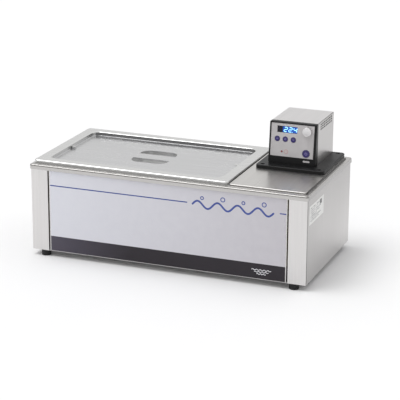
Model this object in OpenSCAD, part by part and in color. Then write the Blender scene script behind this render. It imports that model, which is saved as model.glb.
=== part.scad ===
// Sous vide bath: a long stainless water bath with a lift-off lid, and an
// immersion circulator that stands on a bridge plate over its right end.
// Front faces -Y. The origin is on the floor, under the middle of the tank rim.

/* [Cabinet] */
// Width over the tank rim
rim_w = 780; // [740:1:860]
// Depth over the tank rim
rim_d = 388; // [380:1:420]
// Height of the tank rim above the floor
rim_h = 255; // [245:1:270]
// Height of the rubber feet
foot_h = 16.5; // [10:0.5:18]
// Diameter of a foot
foot_dia = 26; // [20:1:28]
// Overhang of the rim outside the casing
rim_overhang = 3; // [2:0.5:5]
// Thickness of the casing sheet
sheet = 1.2; // [1:0.1:1.5]
// Width of the steel column at each front corner
column_w = 49; // [40:1:56]
// Width of the dark groove beside each column
groove_w = 4; // [2:0.5:6]
// Height of the graphic overlay
overlay_h = 223.5; // [200:0.5:223.5]

/* [Tank] */
// Length of the tank opening
tank_w = 720; // [690:1:722]
// Depth of the tank opening, front to back
tank_d = 300; // [290:1:310]
// Height of the tank floor above the ground
tank_floor = 50; // [40:1:60]
// Thickness of the tank sheet
tank_t = 1.5; // [1:0.1:2]
// Height of the outer skirt of the rim
skirt_h = 13; // [10:1:16]

/* [Lid] */
// Left edge of the lid
lid_x0 = -386; // [-387:1:-380]
// Right edge of the lid
lid_x1 = 167; // [150:1:167]
// Depth of the lid and of the bridge plate
lid_d = 350; // [340:1:356]
// Height of the lid rim above the tank rim
lid_rise = 8; // [6:0.5:10]
// Depth of the lid panel below the lid rim
lid_recess = 11; // [9:0.5:13]
// Width of the raised lid rim
lid_band = 31; // [28:1:34]
// Length of the handle bar
handle_w = 104; // [90:1:110]
// Depth of both finger slots and the bar together
handle_d = 115; // [100:1:118]
// Width of the handle bar
handle_bar = 43; // [30:1:52]
// Depth of the cup under the handle
cup_depth = 24; // [20:1:28]

/* [Circulator] */
// Left edge of the bridge plate
bridge_x0 = 169; // [169:1:172]
// Right edge of the bridge plate
bridge_x1 = 380; // [376:1:384]
// Thickness of the bridge plate
bridge_t = 1.5; // [1.5:0.1:2.5]
// Height of the bridge plate's top above the tank rim
bridge_rise = 3.5; // [3:0.5:7]
// Width of the black base plate
base_w = 189.5; // [186:0.5:196]
// Depth of the black base plate
base_d = 196; // [184:1:198]
// Thickness of the black base plate
base_t = 9.5; // [8:0.5:14]
// How far the base plate's middle stands to the right of the head's
base_shift = 5.25; // [0:0.25:6]
// Middle of the circulator, left to right
head_x = 273; // [272:1:276]
// Width of the control head
head_w = 130; // [126:1:134]
// Depth of the control head
head_d = 149; // [149:1:151]
// Height of the control head above its base plate
head_h = 111.5; // [111:0.5:114]
// Height of the black skirt below the faceplate
head_skirt = 18.5; // [12:0.5:21]
// How far the foot of the leaning control face stands in front of its top
face_lean = 12; // [8:1:18]
// Depth of the front bezel
bezel_d = 10; // [9:0.5:12]
// Width of the bezel frame left of the faceplate
bezel_left = 4; // [3:0.5:6]
// Width of the bezel frame right of the faceplate
bezel_right = 7; // [4:0.5:8]
// Width of the bezel frame above the faceplate
bezel_top = 5; // [3.5:0.5:6]
// Diameter of the control knob
knob_dia = 24; // [20:1:26]
// Length of the control knob
knob_len = 10; // [9:1:15]

/* [Immersed parts] */
// Height of the pump housing's lowest point
pump_z = 80; // [76:1:90]
// Diameter of the pump housing
pump_dia = 60; // [56:1:64]
// Radius of the heater ring
heater_r = 38; // [37:1:40]
// Diameter of the heater tube
heater_dia = 8.5; // [7:0.5:9]
// Travel of the level float
float_travel = 15; // [10:1:20]

/* [Hidden] */
$fn = 48;
eps = 0.01;
play = 0.05;

case_w = rim_w - 2 * rim_overhang;
case_d = rim_d - 2 * rim_overhang;
case_top = rim_h - tank_t - 1;
front_y = -case_d / 2;
back_y = case_d / 2;
fold_r = 3;
fold_lip = 12;
panel_w = case_w - 2 * (column_w + groove_w);
panel_y = front_y + 0.5;
overlay_t = 0.4;
rear_return = 37;
pan_top = foot_h + sheet;
back_screw_x = case_w / 2 - 19;
back_screws_z = [50, 130, 210];
foot_x = rim_w / 2 - 38;
foot_y = rim_d / 2 - 16;
label_y = -174;
label_z = rim_h - 83;
label_w = 120;
label_h = 50;
label_t = 0.3;

rim_edge_r = 4;
rim_corner_r = 7;
tank_corner_r = 30;
tank_fillet = 15;
tank_bottom = tank_floor - tank_t;

lid_t = 1;
lid_w = lid_x1 - lid_x0;
lid_x = (lid_x0 + lid_x1) / 2;
lid_top = rim_h + lid_rise;
lid_panel_top = lid_top - lid_recess;
lid_corner_r = 10;
lid_inner_r = 22;
slot_r = 26;
cup_flange = 10;

bridge_top = rim_h + bridge_rise;
bridge_bend_r = 2.5;
bridge_corner_r = 8;
base_top = bridge_top + base_t;
base_x = head_x + base_shift;
base_back = 184;
base_y = base_back - base_d / 2;
base_screw_w = base_w - 34;
base_screw_d = base_d - 24;
screw_sink = 5;
head_y0 = base_back - 1 - head_d;
head_y1 = head_y0 + head_d;
head_x0 = head_x - head_w / 2;
head_top = base_top + head_h;
cover_t = 1.2;
cover_r = 4;
face_angle = atan(face_lean / head_h);
face_y = head_y0 + 0.8;
face_t = 2;
face_w = head_w - bezel_left - bezel_right;
face_x0 = head_x0 + bezel_left;
face_z0 = base_top + head_skirt;
face_z1 = head_top - bezel_top;
face_h = face_z1 - face_z0;
ledge_w = 1.5;
board_y = head_y0 + 16;
board_t = 1.6;
rear_t = 2;
hatch_w = 112;
hatch_d = 104;
hatch_y = 96;

// Places on the faceplate before it leans back, from the head's lower left corner
window_x = head_x0 + 48.4;
window_z = base_top + 90.8;
window_w = 55.5;
window_h = 17.5;
menu_x = [for (i = [0:2]) head_x0 + 21.8 + 22.2 * i];
menu_z = base_top + 64.8;
menu_r = 7.2;
power_x = head_x0 + 102.9;
power_z = base_top + 31.4;
power_r = 10.3;
led_x = head_x0 + 36;
ring_x = head_x0 + 47.6;
led_z = base_top + 31.6;
led_r = 2.7;
ring_r = 6;
knob_x = head_x0 + 105;
knob_z = base_top + 90.7;
knob_gap = 1;
button_gap = 0.35;
button_travel = 0.8;

// Places on the rear panel
inlet_x = head_x - 28;
inlet_z = base_top + 28;
fuse_x = head_x + 24;

// The pump shaft and what turns with it
shaft_x = head_x;
shaft_y = 96;
shaft_r = 3;
shaft_z0 = pump_z + 8;
motor_z0 = base_top + 24;
motor_h = 44;
motor_r = 24;
fan_z = motor_z0 + motor_h + 8;
fan_r = 26;
shaft_z1 = fan_z + 13;
tube_r = 11;
pump_h = 30;
pump_wall = 2;
impeller_r = 22;

probe_x = head_x - 40;
float_x = head_x + 46;
wet_y = 58;
float_rod_r = 2.5;
float_r = 11;
float_h = 20;
float_z = 150;

// ---------- shared shapes ----------

// Rectangle with round corners, about the origin
module rounded_rect(w, d, r) {
    square([w - 2 * r, d], center = true);
    square([w, d - 2 * r], center = true);
    for (sx = [-1, 1], sy = [-1, 1])
        translate([sx * (w / 2 - r), sy * (d / 2 - r)]) circle(r);
}

// Plate with round corners, standing on z = 0
module rounded_plate(w, d, h, r) {
    linear_extrude(h) rounded_rect(w, d, r);
}

// Sweeps a profile round a rectangle w by d with corner radius r. The profile's
// x runs outward from the corner arcs' centres and its y runs up.
module edge_sweep(w, d, r) {
    for (q = [0:3]) {
        along_x = q % 2 == 0;
        half = (along_x ? w : d) / 2 - r;
        side = (along_x ? d : w) / 2 - r;
        rotate(90 * q) {
            translate([half, 0]) rotate([90, 0, 0])
                linear_extrude(2 * side, center = true) children();
            translate([half, side]) rotate_extrude(angle = 90) children();
        }
    }
}

// Quarter of a bent sheet with outer radius r, from +x round to +y
module bend_profile(r, t) {
    intersection() {
        difference() {
            circle(r);
            circle(r - t);
        }
        square(r);
    }
}

// Block w by d by h with corner radius r and a top edge rounded by edge_r
module soft_block(w, d, h, r, edge_r) {
    edge_sweep(w, d, r) {
        union() {
            square([r, h - edge_r]);
            square([r - edge_r, h]);
            translate([r - edge_r, h - edge_r]) circle(edge_r, $fn = 32);
        }
    }
    translate([-w / 2 + r, -d / 2 + r]) cube([w - 2 * r, d - 2 * r, h]);
}

// Slot with round ends, w long along x
module slot(w, h) {
    square([w - h, h], center = true);
    for (s = [-1, 1]) translate([s * (w - h) / 2, 0]) circle(d = h, $fn = 16);
}

// Places children on the control face: x and z on the face, y pointing back
module on_face(x, z, y = 0) {
    translate([x, y, z]) rotate([-90, 0, 0]) children();
}

// Leans children back with the control face, about the head's upper front edge
module leaned() {
    translate([0, head_y0, head_top]) rotate([-face_angle, 0, 0])
        translate([0, -head_y0, -head_top]) children();
}

// Puts children at the four corners of a rectangle
module at_corners(w, d) {
    for (sx = [-1, 1], sy = [-1, 1]) translate([sx * w / 2, sy * d / 2]) children();
}

// Screw pointing down, its head's underside at z = 0
module screw(head_r, head_len, shank_r, shank_len) {
    difference() {
        cylinder(r = head_r, h = head_len);
        translate([0, 0, head_len * 0.4]) cylinder(r = head_r * 0.5, h = head_len, $fn = 6);
    }
    translate([0, 0, -shank_len]) cylinder(r = shank_r, h = shank_len + eps);
}

// ---------- cabinet ----------

// Outline of the right side panel: wall, front column, groove lip, rear return
module side_profile() {
    difference() {
        rounded_rect(case_w, case_d, fold_r);
        rounded_rect(case_w - 2 * sheet, case_d - 2 * sheet, fold_r - sheet);
        translate([-case_w, -case_d]) square([case_w * 1.5 - column_w, case_d]);
        translate([-case_w, 0]) square([case_w * 1.5 - rear_return, case_d]);
    }
}

module side_panel() {
    difference() {
        translate([0, 0, foot_h]) linear_extrude(case_top - foot_h) side_profile();
        for (z = back_screws_z)
            translate([back_screw_x, back_y, z]) rotate([90, 0, 0])
                cylinder(r = 2, h = 10, center = true);
    }
    translate([case_w / 2 - column_w, front_y, pan_top])
        cube([sheet, fold_lip, case_top - pan_top]);
}

module side_panel_right() {
    color("silver") side_panel();
}

module side_panel_left() {
    color("silver") mirror([1, 0, 0]) side_panel();
}

// Front panel with a flange folded back at each end
module front_panel() {
    color("gainsboro") translate([-panel_w / 2, panel_y, pan_top]) {
        cube([panel_w, sheet, case_top - pan_top]);
        for (x = [0, panel_w - sheet]) translate([x, 0]) cube([sheet, fold_lip, case_top - pan_top]);
    }
}

// Printed film on the front panel
module front_overlay() {
    color("lavender") translate([-(panel_w - 5.4) / 2, panel_y - overlay_t, foot_h + 2])
        cube([panel_w - 5.4, overlay_t, overlay_h]);
}

module back_panel() {
    color("silver") difference() {
        translate([-case_w / 2 + 3, back_y - 2 * sheet, pan_top])
            cube([case_w - 6, sheet, case_top - pan_top]);
        for (s = [-1, 1], z = back_screws_z)
            translate([s * back_screw_x, back_y, z]) rotate([90, 0, 0]) cylinder(r = 2, h = 10, center = true);
    }
}

module back_panel_screws() {
    color("silver") for (s = [-1, 1], z = back_screws_z)
        translate([s * back_screw_x, back_y, z]) rotate([-90, 0, 0]) screw(3.5, 2, 1.8, 6);
}

module base_pan() {
    color("silver") difference() {
        translate([0, 0, foot_h])
            rounded_plate(case_w - 2 * sheet - 0.4, case_d - 2 * sheet - 1.4, sheet, fold_r);
        translate([0, 0, foot_h]) at_corners(2 * foot_x, 2 * foot_y) cylinder(r = 3.2, h = 10, center = true);
    }
}

// Turned rubber foot with a pocket for its screw
module rubber_foot() {
    rotate_extrude() difference() {
        union() {
            square([foot_dia / 2 - 1.5, foot_h]);
            translate([0, 1.5]) square([foot_dia / 2, foot_h - 3]);
            for (z = [1.5, foot_h - 1.5]) translate([foot_dia / 2 - 1.5, z]) circle(1.5, $fn = 24);
        }
        square([3.2, foot_h]);
        square([6.5, 6]);
    }
}

module rubber_feet() {
    color("black") at_corners(2 * foot_x, 2 * foot_y) rubber_foot();
}

module foot_screws() {
    color("silver") at_corners(2 * foot_x, 2 * foot_y) {
        translate([0, 0, 6]) mirror([0, 0, 1]) screw(5.5, 3.5, 3, 14);
        translate([0, 0, pan_top]) difference() {
            cylinder(r = 5.5, h = 4.5, $fn = 6);
            translate([0, 0, -1]) cylinder(r = 3.05, h = 7);
        }
    }
}

// One sheet: rounded rim and skirt, flat flange, walls and floor
module tank() {
    wall_r = tank_corner_r + tank_t;
    flat_w = rim_w - 2 * rim_edge_r;
    flat_d = rim_d - 2 * rim_edge_r;
    color("gainsboro") {
        edge_sweep(rim_w, rim_d, rim_corner_r) {
            union() {
                translate([rim_corner_r - tank_t, rim_h - skirt_h]) square([tank_t, skirt_h - rim_edge_r]);
                translate([rim_corner_r - rim_edge_r, rim_h - rim_edge_r]) bend_profile(rim_edge_r, tank_t);
                translate([0, rim_h - tank_t]) square([rim_corner_r - rim_edge_r, tank_t]);
            }
        }
        translate([0, 0, rim_h - tank_t]) linear_extrude(tank_t) difference() {
            rounded_rect(flat_w, flat_d, rim_corner_r - rim_edge_r);
            rounded_rect(tank_w, tank_d, tank_corner_r);
        }
        edge_sweep(tank_w + 2 * tank_t, tank_d + 2 * tank_t, wall_r) {
            union() {
                translate([wall_r - tank_t, tank_bottom + tank_fillet])
                    square([tank_t, rim_h - tank_bottom - tank_fillet]);
                translate([wall_r - tank_fillet, tank_bottom + tank_fillet]) mirror([0, 1])
                    bend_profile(tank_fillet, tank_t);
                translate([0, tank_bottom]) square([wall_r - tank_fillet, tank_t]);
            }
        }
        translate([-tank_w / 2 + tank_corner_r, -tank_d / 2 + tank_corner_r, tank_bottom])
            cube([tank_w - 2 * tank_corner_r, tank_d - 2 * tank_corner_r, tank_t]);
    }
}

// Foam boards between the tank and the casing
module insulation() {
    board = 20;
    top = rim_h - skirt_h - 6;
    low = tank_floor + 6;
    color("khaki") {
        for (s = [-1, 1]) {
            translate([-tank_w / 2, s * (tank_d / 2 + 13) - board / 2, low]) cube([tank_w, board, top - low]);
            translate([s * (tank_w / 2 + 13) - board / 2, -tank_d / 2, low]) cube([board, tank_d, top - low]);
        }
        translate([-tank_w / 2 + 20, -tank_d / 2 + 20, tank_bottom - board])
            cube([tank_w - 40, tank_d - 40, board]);
    }
}

module rating_label() {
    color("white") translate([case_w / 2, label_y, label_z]) cube([label_t, label_w, label_h]);
}

// ---------- lid ----------

// Outline of one finger slot, s = -1 in front of the bar and 1 behind it
module finger_slot(s) {
    intersection() {
        rounded_rect(handle_w, handle_d, slot_r);
        translate([-handle_w / 2, s > 0 ? handle_bar / 2 : -handle_d / 2])
            square([handle_w, (handle_d - handle_bar) / 2]);
    }
}

// Pressed sheet: outer skirt, raised rim, step down and recessed panel
module lid_pan() {
    edge_r = 4;
    step_r = 3;
    inner_w = lid_w - 2 * lid_band;
    inner_d = lid_d - 2 * lid_band;
    lug_r = 6;
    color("gainsboro") translate([lid_x, 0]) {
        edge_sweep(lid_w, lid_d, lid_corner_r) {
            union() {
                translate([lid_corner_r - lid_t, rim_h]) square([lid_t, lid_rise - edge_r]);
                translate([lid_corner_r - edge_r, lid_top - edge_r]) bend_profile(edge_r, lid_t);
                translate([0, lid_top - lid_t]) square([lid_corner_r - edge_r, lid_t]);
            }
        }
        translate([0, 0, lid_top - lid_t]) linear_extrude(lid_t) difference() {
            rounded_rect(lid_w - 2 * edge_r, lid_d - 2 * edge_r, lid_corner_r - edge_r);
            rounded_rect(inner_w + 2 * step_r, inner_d + 2 * step_r, lid_inner_r + step_r);
        }
        edge_sweep(inner_w + 2 * step_r, inner_d + 2 * step_r, lid_inner_r + step_r) {
            union() {
                translate([lid_inner_r + step_r, lid_top - step_r]) mirror([1, 0]) bend_profile(step_r, lid_t);
                translate([lid_inner_r, lid_panel_top + step_r - lid_t])
                    square([lid_t, lid_recess - 2 * step_r + lid_t]);
                translate([lid_inner_r + lid_t - step_r, lid_panel_top + step_r - lid_t]) mirror([0, 1])
                    bend_profile(step_r, lid_t);
                translate([0, lid_panel_top - lid_t]) square([lid_inner_r + lid_t - step_r, lid_t]);
            }
        }
        translate([0, 0, lid_panel_top - lid_t]) linear_extrude(lid_t) difference() {
            square([inner_w - 2 * lid_inner_r, inner_d - 2 * lid_inner_r], center = true);
            finger_slot(-1);
            finger_slot(1);
        }
        for (s = [-1, 1])
            translate([s * (inner_w / 2 - lug_r + 0.5), -2, lid_panel_top - eps])
                cylinder(r = lug_r, h = lug_r);
    }
}

// Cup welded under the lid, which closes both finger slots from below
module lid_handle_cup() {
    cup_w = handle_w + 4;
    cup_d = handle_d + 4;
    cup_z = lid_panel_top - lid_t - cup_depth;
    color("silver") translate([lid_x, 0, cup_z]) {
        difference() {
            rounded_plate(cup_w, cup_d, cup_depth, slot_r + 2);
            translate([0, 0, lid_t]) rounded_plate(cup_w - 2, cup_d - 2, cup_depth, slot_r + 1);
        }
        translate([0, 0, cup_depth - lid_t]) linear_extrude(lid_t) difference() {
            rounded_rect(cup_w + cup_flange, cup_d + cup_flange, slot_r + 6);
            rounded_rect(cup_w - 1, cup_d - 1, slot_r + 1.5);
        }
    }
}

// ---------- circulator, fixed parts ----------

// Opening in the bridge plate and base plate for the immersed parts
module hatch(h) {
    translate([head_x, hatch_y]) rounded_plate(hatch_w, hatch_d, h, 8);
}

// Pressed plate with a folded edge that stands on the tank rim
module bridge_plate() {
    w = bridge_x1 - bridge_x0;
    r = bridge_corner_r;
    baffle_h = 14;
    color("gainsboro") difference() {
        union() {
            translate([(bridge_x0 + bridge_x1) / 2, 0]) {
                edge_sweep(w, lid_d, r) {
                    union() {
                        translate([r - bridge_t, rim_h]) square([bridge_t, bridge_rise - bridge_bend_r]);
                        translate([r - bridge_bend_r, bridge_top - bridge_bend_r])
                            bend_profile(bridge_bend_r, bridge_t);
                        translate([0, bridge_top - bridge_t]) square([r - bridge_bend_r, bridge_t]);
                    }
                }
                translate([0, 0, bridge_top - bridge_t]) linear_extrude(bridge_t)
                    square([w - 2 * r, lid_d - 2 * r], center = true);
            }
            translate([bridge_x0 + 4, -tank_d / 2 + 12, rim_h - baffle_h])
                cube([sheet, tank_d - 24, baffle_h + bridge_rise - bridge_t / 2]);
        }
        translate([0, 0, rim_h - 1]) hatch(10);
        translate([base_x, base_y, rim_h]) at_corners(base_screw_w, base_screw_d)
            cylinder(r = 2.7, h = 20, center = true);
    }
}

// Moulded plate that carries the head, its motor and the immersed parts
module head_base_plate() {
    color([0.09, 0.09, 0.1]) difference() {
        translate([base_x, base_y, bridge_top]) soft_block(base_w, base_d, base_t, 10, 2.5);
        translate([base_x, base_y, base_top]) at_corners(base_screw_w, base_screw_d) {
            cylinder(r = 2.7, h = 40, center = true);
            cylinder(r = 6, h = 2 * screw_sink, center = true);
        }
        translate([shaft_x, shaft_y, base_top]) cylinder(r = tube_r, h = 40, center = true);
        translate([probe_x, wet_y, base_top]) cylinder(r = 3, h = 40, center = true);
        translate([float_x, wet_y, base_top]) cylinder(r = float_rod_r, h = 40, center = true);
        for (p = heater_legs) translate([p.x, p.y, base_top]) cylinder(r = 7, h = 40, center = true);
    }
}

module base_plate_screws() {
    color("dimgray") translate([base_x, base_y, base_top - screw_sink]) at_corners(base_screw_w, base_screw_d)
        screw(5, 3.5, 2.5, base_t - screw_sink + bridge_t + 1);
}

// Side view of the leaning bezel, then cut to the head's rounded front view
module bezel_block() {
    back = head_y0 + bezel_d;
    bevel = 1.5;
    intersection() {
        translate([head_x - head_w / 2, 0]) rotate([90, 0, 90]) linear_extrude(head_w) polygon([
            [back, base_top],
            [back, head_top],
            [head_y0 + bevel, head_top],
            [head_y0 - face_lean * bevel / head_h, head_top - bevel],
            [head_y0 - face_lean, base_top]]);
        translate([head_x, back, base_top + head_h / 2]) rotate([90, 0, 0])
            rounded_plate(head_w, head_h, bezel_d + face_lean + 1, cover_r);
    }
}

// Moulded frame round the faceplate, with a deep skirt below and posts for the board
module front_bezel() {
    wall = 2;
    reach = 60;
    color([0.06, 0.06, 0.07]) difference() {
        union() {
            difference() {
                bezel_block();
                leaned() {
                    translate([face_x0, head_y0 - 1, face_z0])
                        cube([face_w, face_y + face_t - head_y0 + 1, face_h]);
                    translate([face_x0 + ledge_w, head_y0 - 1, face_z0 + ledge_w])
                        cube([face_w - 2 * ledge_w, reach, face_h - 2 * ledge_w]);
                    translate([face_x0, face_y + face_t + wall, base_top + wall])
                        cube([face_w, reach, head_skirt]);
                    translate([head_x - head_w / 2 + wall, head_y0 + bezel_d, base_top - 5])
                        cube([head_w - 2 * wall, reach, face_z1 - base_top + 5]);
                }
            }
            board_corners() cylinder(r = 3, h = board_y - head_y0 - 8);
        }
        board_corners() translate([0, 0, -1]) cylinder(r = 1.5, h = 5);
    }
}

module faceplate() {
    color("silver") leaned() difference() {
        translate([face_x0, face_y, face_z0]) cube([face_w, face_t, face_h]);
        translate([window_x - window_w / 2, face_y - 1, window_z - window_h / 2])
            cube([window_w, face_t + 2, window_h]);
        for (x = menu_x) on_face(x, menu_z) cylinder(r = menu_r + button_gap, h = 100);
        on_face(power_x, power_z) cylinder(r = power_r + button_gap, h = 100);
        on_face(led_x, led_z) cylinder(r = led_r, h = 100);
        on_face(ring_x, led_z) cylinder(r = ring_r, h = 100);
        on_face(knob_x, knob_z) cylinder(r = 5, h = 100);
    }
}

module display_window() {
    color("midnightblue") leaned() translate([window_x - window_w / 2, face_y + 0.2, window_z - window_h / 2])
        cube([window_w, face_t - 0.2, window_h]);
}

module display_module() {
    color("midnightblue") leaned()
        translate([window_x - window_w / 2 - 2, face_y + face_t, window_z - window_h / 2 - 2])
        cube([window_w + 4, board_y - face_y - face_t, window_h + 4]);
}

// The board's four corner holes, z = 0 on its front and z pointing forward
module board_corners() {
    leaned() translate([face_x0 + face_w / 2, board_y, (face_z0 + face_z1) / 2]) rotate([90, 0, 0])
        at_corners(face_w - 6, face_h - 6) children();
}

module control_board() {
    color("darkgreen") difference() {
        leaned() translate([face_x0, board_y, face_z0]) cube([face_w, board_t, face_h]);
        board_corners() cylinder(r = 1.6, h = 10, center = true);
    }
}

module board_screws() {
    color("silver") board_corners() translate([0, 0, -board_t]) mirror([0, 0, 1]) screw(2.8, 1.6, 1.4, 5);
}

// Switch bodies on the board, one behind each button
module tact_switches() {
    color("black") leaned() for (p = concat([for (x = menu_x) [x, menu_z]], [[power_x, power_z]]))
        translate([p.x - 3, board_y - 5, p.y - 3]) cube([6, 5, 6]);
}

// A cap through the faceplate, a flange behind it and a stem to the switch
module push_button(x, z, r, proud) {
    leaned() on_face(x, z, face_y - proud) {
        cylinder(r = r, h = face_t + proud + 0.2);
        translate([0, 0, face_t + proud + 0.1]) cylinder(r = r + 0.8, h = 1.2);
        translate([0, 0, face_t + proud + 1])
            cylinder(r = 1.8, h = board_y - 5 - button_travel - 0.15 - face_y - face_t - 1);
    }
}

module menu_button(i) {
    color([0.14, 0.1, 0.38]) push_button(menu_x[i], menu_z, menu_r, 0.9);
}

module menu_button_left() {
    menu_button(0);
}

module menu_button_middle() {
    menu_button(1);
}

module menu_button_right() {
    menu_button(2);
}

module power_button() {
    color([0.14, 0.1, 0.38]) push_button(power_x, power_z, power_r, 0.9);
}

module status_led() {
    color("firebrick") leaned() on_face(led_x, led_z, face_y - 0.6) cylinder(r = led_r - 0.02, h = 6);
}

// Clear light ring beside the lamp
module ring_indicator() {
    color("mistyrose") leaned() on_face(ring_x, led_z, face_y - 0.2) cylinder(r = ring_r - 0.02, h = 4);
}

module encoder_body() {
    color("dimgray") leaned() difference() {
        union() {
            translate([knob_x - 6.5, board_y - 7, knob_z - 6.5]) cube([13, 7, 13]);
            on_face(knob_x, knob_z, face_y + face_t) cylinder(r = 4.6, h = board_y - face_y - face_t - 6);
        }
        on_face(knob_x, knob_z, 0) cylinder(r = shaft_r + play, h = board_y - 2);
    }
}

// The switch plunger that the shaft presses
module encoder_plunger() {
    color("white") leaned() on_face(knob_x, knob_z, board_y - 4) cylinder(r = shaft_r, h = 1);
}

module encoder_shaft() {
    color("silver") leaned() on_face(knob_x, knob_z, face_y - knob_gap - knob_len + 2)
        cylinder(r = shaft_r, h = board_y - 4 - face_y + knob_gap + knob_len - 2);
}

module control_knob() {
    color("gainsboro") leaned() on_face(knob_x, knob_z, face_y - knob_gap - knob_len)
    rotate_extrude() difference() {
        union() {
            square([knob_dia / 2 - 1, knob_len]);
            translate([0, 1]) square([knob_dia / 2, knob_len - 1]);
            translate([knob_dia / 2 - 1, 1]) circle(1, $fn = 24);
        }
        translate([0, 2]) square([shaft_r, knob_len]);
    }
}

// Folded cover: top and both sides, with three rows of vents in each side
module head_cover() {
    cover_y0 = head_y0 + bezel_d;
    color("silver") difference() {
        translate([head_x, head_y1, base_top]) rotate([90, 0, 0])
        linear_extrude(head_y1 - cover_y0) difference() {
            union() {
                translate([0, head_h / 2]) rounded_rect(head_w - 1, head_h, cover_r);
                translate([-head_w / 2 + 0.5, 0]) square([head_w - 1, cover_r]);
            }
            translate([0, (head_h - cover_t) / 2])
                rounded_rect(head_w - 1 - 2 * cover_t, head_h - cover_t, cover_r - cover_t);
            translate([-head_w / 2 + 0.5 + cover_t, -1]) square([head_w - 1 - 2 * cover_t, head_h / 2]);
        }
        for (row = [0:2], i = [0:6])
            translate([head_x, head_y0 + 36 + 15.2 * i, base_top + 104 - 6.5 * row])
                rotate([90, 0, 90]) linear_extrude(head_w + 2, center = true) slot(11, 3.6);
    }
}

// Black plate that closes the head behind
module rear_panel() {
    inner_w = head_w - 1 - 2 * cover_t;
    color([0.09, 0.09, 0.1]) difference() {
        translate([head_x - inner_w / 2 + 0.2, head_y1 - rear_t, base_top])
            cube([inner_w - 0.4, rear_t, head_h - cover_t - 3]);
        translate([inlet_x - 14, head_y1 - 10, inlet_z - 10]) cube([28, 20, 20]);
        on_face(fuse_x, inlet_z, 0) cylinder(r = 6.2, h = 300);
        for (i = [0:8]) translate([head_x - 32 + 8 * i, head_y1, base_top + 76]) rotate([90, 0, 0])
            linear_extrude(10, center = true) rotate(90) slot(26, 3);
        rear_corners() cylinder(r = 1.6, h = 10, center = true);
    }
}

module rear_corners() {
    translate([head_x, head_y1, base_top + 54]) rotate([-90, 0, 0]) at_corners(head_w - 20, 92) children();
}

module rear_panel_screws() {
    color("silver") rear_corners() screw(3, 1.6, 1.5, 8);
}

// Appliance inlet in the rear panel, with its three contact pins
module power_inlet() {
    color("black") {
        translate([inlet_x, head_y1 - 20, inlet_z]) rotate([-90, 0, 0]) difference() {
            union() {
                translate([-13.9, -9.9]) cube([27.8, 19.8, 20.4]);
                translate([-17, -12, 20]) cube([34, 24, 1.5]);
            }
            translate([-12, -8, 4]) cube([24, 16, 20]);
        }
        for (i = [-1:1]) translate([inlet_x + 6.5 * i - 1, head_y1 - 17, inlet_z - 2]) cube([2, 14, 4]);
    }
}

module fuse_holder() {
    color("black") on_face(fuse_x, inlet_z, head_y1 - 22) {
        cylinder(r = 6, h = 22.5);
        translate([0, 0, 22]) cylinder(r = 8, h = 3);
    }
}

module power_supply() {
    color("goldenrod") translate([head_x - 60, head_y1 - 50, base_top]) {
        cube([34, 26, 1.6]);
        translate([2, 3, 1.6]) cube([24, 20, 16]);
        translate([29, 8, 1.6 - eps]) cylinder(r = 3.5, h = 12);
    }
}

module heater_relay() {
    color("white") translate([head_x + 28, head_y1 - 52, base_top]) cube([30, 26, 20]);
}

// Four posts and a plate that carry the motor above the base plate
module motor_bracket() {
    color("silver") translate([shaft_x, shaft_y, base_top]) {
        difference() {
            translate([0, 0, motor_z0 - base_top - 2]) rounded_plate(58, 58, 2, 5);
            translate([0, 0, 10]) cylinder(r = 9, h = 20);
        }
        at_corners(48, 48) cylinder(r = 3, h = motor_z0 - base_top - 1);
    }
}

module pump_motor() {
    color("dimgray") translate([shaft_x, shaft_y, motor_z0]) difference() {
        union() {
            cylinder(r = motor_r, h = motor_h);
            translate([0, 0, motor_h - eps]) cylinder(r = 8, h = 4);
            translate([0, 0, -2]) cylinder(r = 8.5, h = 3);
        }
        translate([0, 0, -10]) cylinder(r = shaft_r + play, h = motor_h + 20);
    }
}

module cooling_fan() {
    color("dimgray") translate([shaft_x, shaft_y, fan_z]) difference() {
        union() {
            cylinder(r = 8, h = 11);
            for (i = [0:6]) rotate(i * 360 / 7) translate([6, 0, 5.5]) rotate([35, 0, 0])
                translate([0, -6, -0.7]) cube([fan_r - 8, 12, 1.4]);
        }
        translate([0, 0, -1]) cylinder(r = shaft_r, h = 20);
    }
}

module drive_shaft() {
    color("silver") translate([shaft_x, shaft_y, shaft_z0]) cylinder(r = shaft_r, h = shaft_z1 - shaft_z0);
}

// ---------- immersed parts ----------

module impeller() {
    color("white") translate([shaft_x, shaft_y, shaft_z0]) difference() {
        union() {
            cylinder(r = impeller_r, h = 2);
            cylinder(r = 7, h = 11);
            for (i = [0:5]) rotate(60 * i) translate([5, -1, 0]) cube([impeller_r - 6, 2, 10]);
        }
        translate([0, 0, -1]) cylinder(r = shaft_r, h = 20);
    }
}

// Tube round the shaft, from the base plate to the pump
module support_tube() {
    color("silver") translate([shaft_x, shaft_y, pump_z + pump_h]) difference() {
        cylinder(r = tube_r, h = base_top - pump_z - pump_h);
        translate([0, 0, -1]) cylinder(r = tube_r - 1.5, h = 300);
        for (z = [14, 60]) translate([0, 0, z]) rotate([0, 90, 0]) cylinder(r = 3.5, h = 40, center = true);
    }
}

module shaft_bush() {
    color("white") translate([shaft_x, shaft_y, pump_z + pump_h]) difference() {
        cylinder(r = tube_r - 1.5, h = 8);
        translate([0, 0, -1]) cylinder(r = shaft_r + play, h = 20);
    }
}

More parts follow.
